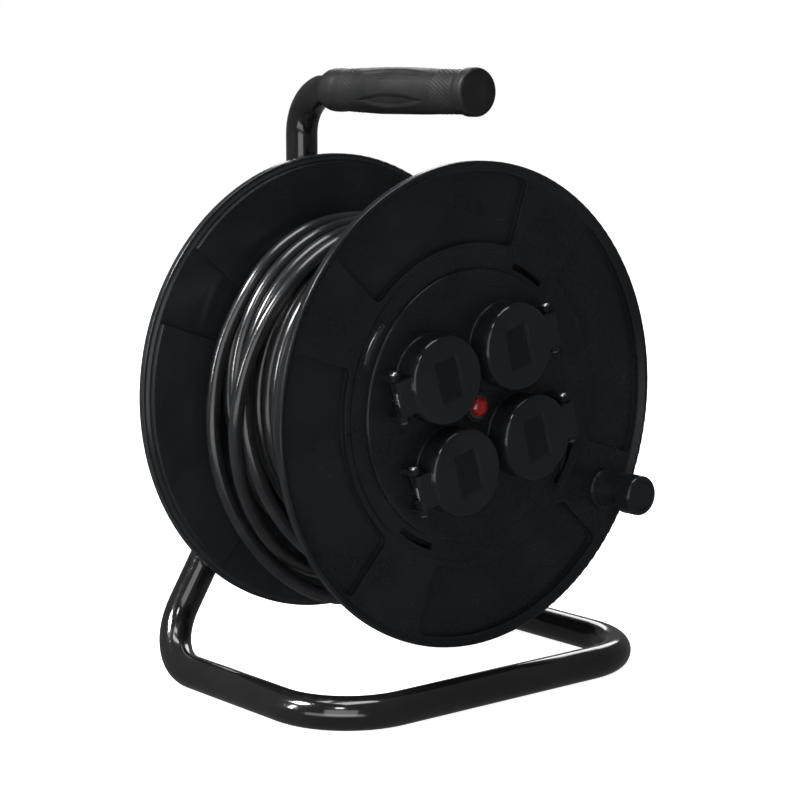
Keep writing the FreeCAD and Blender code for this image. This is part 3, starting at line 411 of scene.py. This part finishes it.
def winding_points():
    """The winding's control points, from the core outwards."""
    wound = wind()
    across = evened([point[1] for point in wound], ACROSS_PASSES)
    radii = evened([point[2] for point in wound], RADIUS_PASSES)
    # A quadratic spline passes inside its control points on a circle, so they stand a little further out.
    outset = 1 / (0.75 + 0.25 * math.cos(2 * math.pi / POINTS_PER_TURN))
    points = []
    for (turn, _, _), y, radius in zip(wound, across, radii):
        for middle, width, drop in SAGS:
            radius += drop * math.exp(-((turn - middle) / width) ** 2)
        angle = FIRST_ANGLE + 2 * math.pi * turn
        reach = radius * outset
        points.append(AXIS + Vector((reach * math.cos(angle), y, reach * math.sin(angle))))
    return points


def make_tube(name, points, thickness, steps, roundness):
    """A round tube with capped ends along a smooth path: a curve, with this many steps to each point."""
    data = bpy.data.curves.new(name, "CURVE")
    data.dimensions = "3D"
    data.resolution_u = steps
    data.bevel_depth = thickness / 2
    data.bevel_resolution = roundness
    data.use_fill_caps = True
    spline = data.splines.new("NURBS")
    spline.points.add(len(points) - 1)
    for place, point in zip(spline.points, points):
        place.co = (*point, 1.0)
    spline.order_u = 3
    spline.use_endpoint_u = True
    tube = bpy.data.objects.new(name, data)
    bpy.context.scene.collection.objects.link(tube)
    return tube


def make_cable():
    """The whole cable, from the core through the winding to the plug's strain relief."""
    points = winding_points()[:-1] + [Vector(p) for p in TAIL_ROUTE]
    cable = make_tube("cable", points, CABLE_DIAMETER, steps=3, roundness=5)
    cable.data.materials.append(MATERIALS["cable_rubber"])
    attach(cable, "drum")
    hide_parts("wound_cable", "cable_tail")


make_cable()


# ---- the spring under the reset button ----------------------------------------------------------
SPRING_WIRE = 0.0008
SPRING_TURNS = 7
SPRING_POINTS_PER_TURN = 16


def make_button_spring():
    """The coil spring under the reset button, drawn at its full length: it stays fixed on the drum and does not
    shorten as the button goes in.
    """
    low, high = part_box("reset_spring")
    middle = (low + high) / 2
    coil_radius = (high.x - low.x - SPRING_WIRE) / 2
    length = high.y - low.y
    steps = SPRING_TURNS * SPRING_POINTS_PER_TURN
    points = []
    for step in range(steps + 1):
        angle = 2 * math.pi * step / SPRING_POINTS_PER_TURN
        y = low.y + SPRING_WIRE / 2 + (length - SPRING_WIRE) * step / steps
        points.append((middle.x + coil_radius * math.cos(angle), y, middle.z + coil_radius * math.sin(angle)))
    coil = make_tube("coil", points, SPRING_WIRE, steps=12, roundness=3)
    mesh = bpy.data.meshes.new_from_object(coil.evaluated_get(bpy.context.evaluated_depsgraph_get()))
    bpy.data.objects.remove(coil)
    mesh.shade_smooth()
    mesh.materials.clear()
    mesh.materials.append(MATERIALS["steel"])
    spring = bpy.data.objects.new("button_spring", mesh)
    bpy.context.scene.collection.objects.link(spring)
    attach(spring, "drum")
    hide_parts("reset_spring")
    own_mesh(spring)


make_button_spring()


# ---- the grip -----------------------------------------------------------------------------------
grip_low, grip_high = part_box("handle_grip")
GRIP_LENGTH = grip_high.y - grip_low.y
GRIP_CENTRE = (grip_low + grip_high) / 2
GRIP_COLUMNS = 240
GRIP_ROWS = 230
MM_PER_M = 1000
# Rows at the rounded rim of the closed front end, beside the evenly spaced ones, in millimetres from it.
RIM_ROWS = {0.0, 0.05, 0.3, 0.8, 1.6, 2.4}
# The grip's radius from its closed front end backwards, in millimetres: (from the end, radius).
GRIP_OUTLINE = [
    (0.0, 0.0), (0.05, 12.5), (0.3, 13.1), (0.8, 13.7), (1.6, 14.1), (2.4, 14.2), (7.2, 14.2), (8.4, 13.8),
    (9.2, 13.1), (9.8, 12.9), (22.5, 12.9), (35.0, 13.3), (48.0, 13.8), (60.0, 14.1), (72.0, 14.2),
    (84.0, 14.1), (96.0, 13.8), (110.0, 13.2), (119.0, 12.9), (121.0, 12.95), (124.0, 13.3), (128.0, 13.4),
    (131.5, 13.3), (133.8, 13.0), (135.8, 12.2), (137.4, 11.2)]
# The finger hollows and the bands of dots, in millimetres.
HOLLOWS = 5
FIRST_HOLLOW = math.radians(60.0)
HOLLOW_RADIUS = 14.0
HOLLOW_MIDDLE = 66.0
HOLLOW_HALF_LENGTH = 33.0
HOLLOW_HALF_WIDTH = 5.2
HOLLOW_DEPTH = 1.1
HOLLOW_EDGE = 0.6
DOT_BANDS = [(12.5, 30.0), (104.0, 117.0)]
DOT_BAND_RADIUS = 13.2
DOT_PITCH = 2.4
DOT_ROW_SPACING = 0.87
DOT_SIZE = 0.13
DOT_HEIGHT = 0.26


def outline_radius(along):
    """The grip's plain radius this far behind its front end, both in millimetres."""
    for (start, first), (end, last) in zip(GRIP_OUTLINE, GRIP_OUTLINE[1:]):
        if along <= end:
            share = (along - start) / (end - start)
            return first + (last - first) * share
    return GRIP_OUTLINE[-1][1]


def hollow_depth(along, angle):
    """How deep the nearest of the lens-shaped finger hollows is here, with a short steep edge."""
    spacing = 2 * math.pi / HOLLOWS
    offset = (angle - FIRST_HOLLOW + spacing / 2) % spacing - spacing / 2
    sideways = offset * HOLLOW_RADIUS / HOLLOW_HALF_WIDTH
    lengthways = (along - HOLLOW_MIDDLE) / HOLLOW_HALF_LENGTH
    inside = 1 - lengthways ** 2 - abs(sideways)
    share = max(0.0, min(1.0, inside / HOLLOW_EDGE))
    return HOLLOW_DEPTH * share * share * (3 - 2 * share)


def dot_height(along, angle):
    """Small domes in offset rows near both ends of the grip."""
    for start, end in DOT_BANDS:
        if start <= along <= end:
            row = (along - start) / (DOT_PITCH * DOT_ROW_SPACING)
            around = angle * DOT_BAND_RADIUS / DOT_PITCH + 0.5 * (int(row) % 2)
            from_row = (row - int(row) - 0.5) * DOT_ROW_SPACING
            from_dot = around - math.floor(around) - 0.5
            return DOT_HEIGHT * max(0.0, 1 - (from_row ** 2 + from_dot ** 2) / DOT_SIZE)
    return 0.0


def make_grip():
    """The moulded rubber grip, as one closed-ended sleeve round the handle's arm."""
    length = GRIP_LENGTH * MM_PER_M
    places = sorted(RIM_ROWS | {length * row / GRIP_ROWS for row in range(1, GRIP_ROWS + 1)})
    vertices = []
    faces = []
    for along in places:
        for column in range(GRIP_COLUMNS):
            angle = 2 * math.pi * column / GRIP_COLUMNS
            radius = outline_radius(along) - hollow_depth(along, angle) + dot_height(along, angle)
            radius /= MM_PER_M
            vertices.append((GRIP_CENTRE.x + radius * math.cos(angle), grip_low.y + along / MM_PER_M,
                             GRIP_CENTRE.z + radius * math.sin(angle)))
    for row in range(len(places) - 1):
        for column in range(GRIP_COLUMNS):
            after = (column + 1) % GRIP_COLUMNS
            a, b = row * GRIP_COLUMNS + column, row * GRIP_COLUMNS + after
            faces.append((a, b, b + GRIP_COLUMNS, a + GRIP_COLUMNS))
    mesh = bpy.data.meshes.new("grip")
    mesh.from_pydata(vertices, [], faces)
    mesh.validate()
    mesh.shade_smooth()
    mesh.materials.append(MATERIALS["grip_rubber"])
    grip = bpy.data.objects.new("grip", mesh)
    bpy.context.scene.collection.objects.link(grip)
    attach(grip, "frame")
    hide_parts("handle_grip")


make_grip()


# ---- stage and light ----------------------------------------------------------------------------
FLOOR_COLOUR = (0.80, 0.80, 0.80)
FLOOR_GLOW = 0.95
BACKDROP_COLOUR = (0.0, 0.0, 0.0)
BACKDROP_GLOW = 1.0
STAGE_RADIUS = 6.0
WORLD_STRENGTH = 0.11

# The soft boxes, from the object's middle: (name, metres to the camera's right, up and towards the camera,
# width, height, watts).
LAMP_TARGET = Vector((0.0, 0.0, 0.18))
LAMPS = [
    ("key", -1.5, 1.6, 0.45, 0.5, 0.5, 74.0),
    ("front", -0.35, 1.7, 1.7, 0.35, 0.35, 7.0),
    ("side", -2.2, 0.75, 0.9, 0.25, 0.8, 24.0),
    ("overhead", 0.0, 2.2, 0.0, 1.2, 1.2, 28.0),
    ("back", 0.3, 1.2, -2.2, 1.6, 0.8, 16.0),
    ("fill", -0.3, 0.5, 2.2, 1.5, 1.5, 14.0),
    ("low", -0.2, -0.16, 0.75, 0.9, 0.2, 1.1)]


def stage_material(name, colour, glow):
    """A matt surface that also glows, but only as far as the camera sees it."""
    material = bpy.data.materials.new(name)
    material.use_nodes = True
    tree = material.node_tree
    shader = tree.nodes["Principled BSDF"]
    place = add_node(tree, "ShaderNodeTexCoord").outputs["Object"]
    tone = blended(tree, noise(tree, place, 3.0), colour + (1.0,), tuple(0.98 * c for c in colour) + (1.0,))
    seen = add_node(tree, "ShaderNodeLightPath").outputs["Is Camera Ray"]
    tree.links.new(tone, shader.inputs["Base Color"])
    tree.links.new(arithmetic(tree, "MULTIPLY", seen, glow), shader.inputs["Emission Strength"])
    shader.inputs["Roughness"].default_value = 0.9
    shader.inputs["Specular IOR Level"].default_value = 0.1
    shader.inputs["Emission Color"].default_value = (1.0, 1.0, 1.0, 1.0)
    return material


def make_floor():
    bpy.ops.mesh.primitive_circle_add(
        vertices=96, radius=STAGE_RADIUS, fill_type="NGON", location=(0, 0, 0))
    floor = bpy.context.object
    floor.name = "floor"
    floor.data.materials.append(stage_material("pale_floor", FLOOR_COLOUR, FLOOR_GLOW))
    floor.visible_glossy = False


def make_backdrop():
    """A white dome behind everything. Only the camera sees it: light comes from the lamps and the world."""
    bpy.ops.mesh.primitive_uv_sphere_add(
        segments=64, ring_count=32, radius=STAGE_RADIUS, location=(0, 0, 0))
    dome = bpy.context.object
    dome.name = "backdrop"
    dome.data.materials.append(stage_material("white_backdrop", BACKDROP_COLOUR, BACKDROP_GLOW))
    dome.visible_diffuse = False
    dome.visible_glossy = False
    dome.visible_transmission = False
    dome.visible_shadow = False


def make_world():
    world = bpy.data.worlds.new("world")
    world.use_nodes = True
    background = world.node_tree.nodes["Background"]
    background.inputs["Color"].default_value = (1.0, 1.0, 1.0, 1.0)
    background.inputs["Strength"].default_value = WORLD_STRENGTH
    bpy.context.scene.world = world


def make_lamp(name, right, up, near, width, height, power):
    """A soft box that shines at the object's middle."""
    sideways = Vector((math.cos(CAMERA_AZIMUTH), math.sin(CAMERA_AZIMUTH), 0.0))
    level = Vector((math.sin(CAMERA_AZIMUTH), -math.cos(CAMERA_AZIMUTH), 0.0))
    data = bpy.data.lights.new(name, "AREA")
    data.shape = "RECTANGLE"
    data.size = width
    data.size_y = height
    data.energy = power
    lamp = bpy.data.objects.new(name, data)
    lamp.location = LAMP_TARGET + sideways * right + level * near + Vector((0.0, 0.0, up))
    lamp.rotation_mode = "QUATERNION"
    lamp.rotation_quaternion = (LAMP_TARGET - lamp.location).to_track_quat("-Z", "Y")
    bpy.context.scene.collection.objects.link(lamp)


def make_light():
    for lamp in LAMPS:
        make_lamp(*lamp)
    bpy.context.scene.view_settings.view_transform = "Standard"


make_floor()
make_backdrop()
make_world()
make_light()
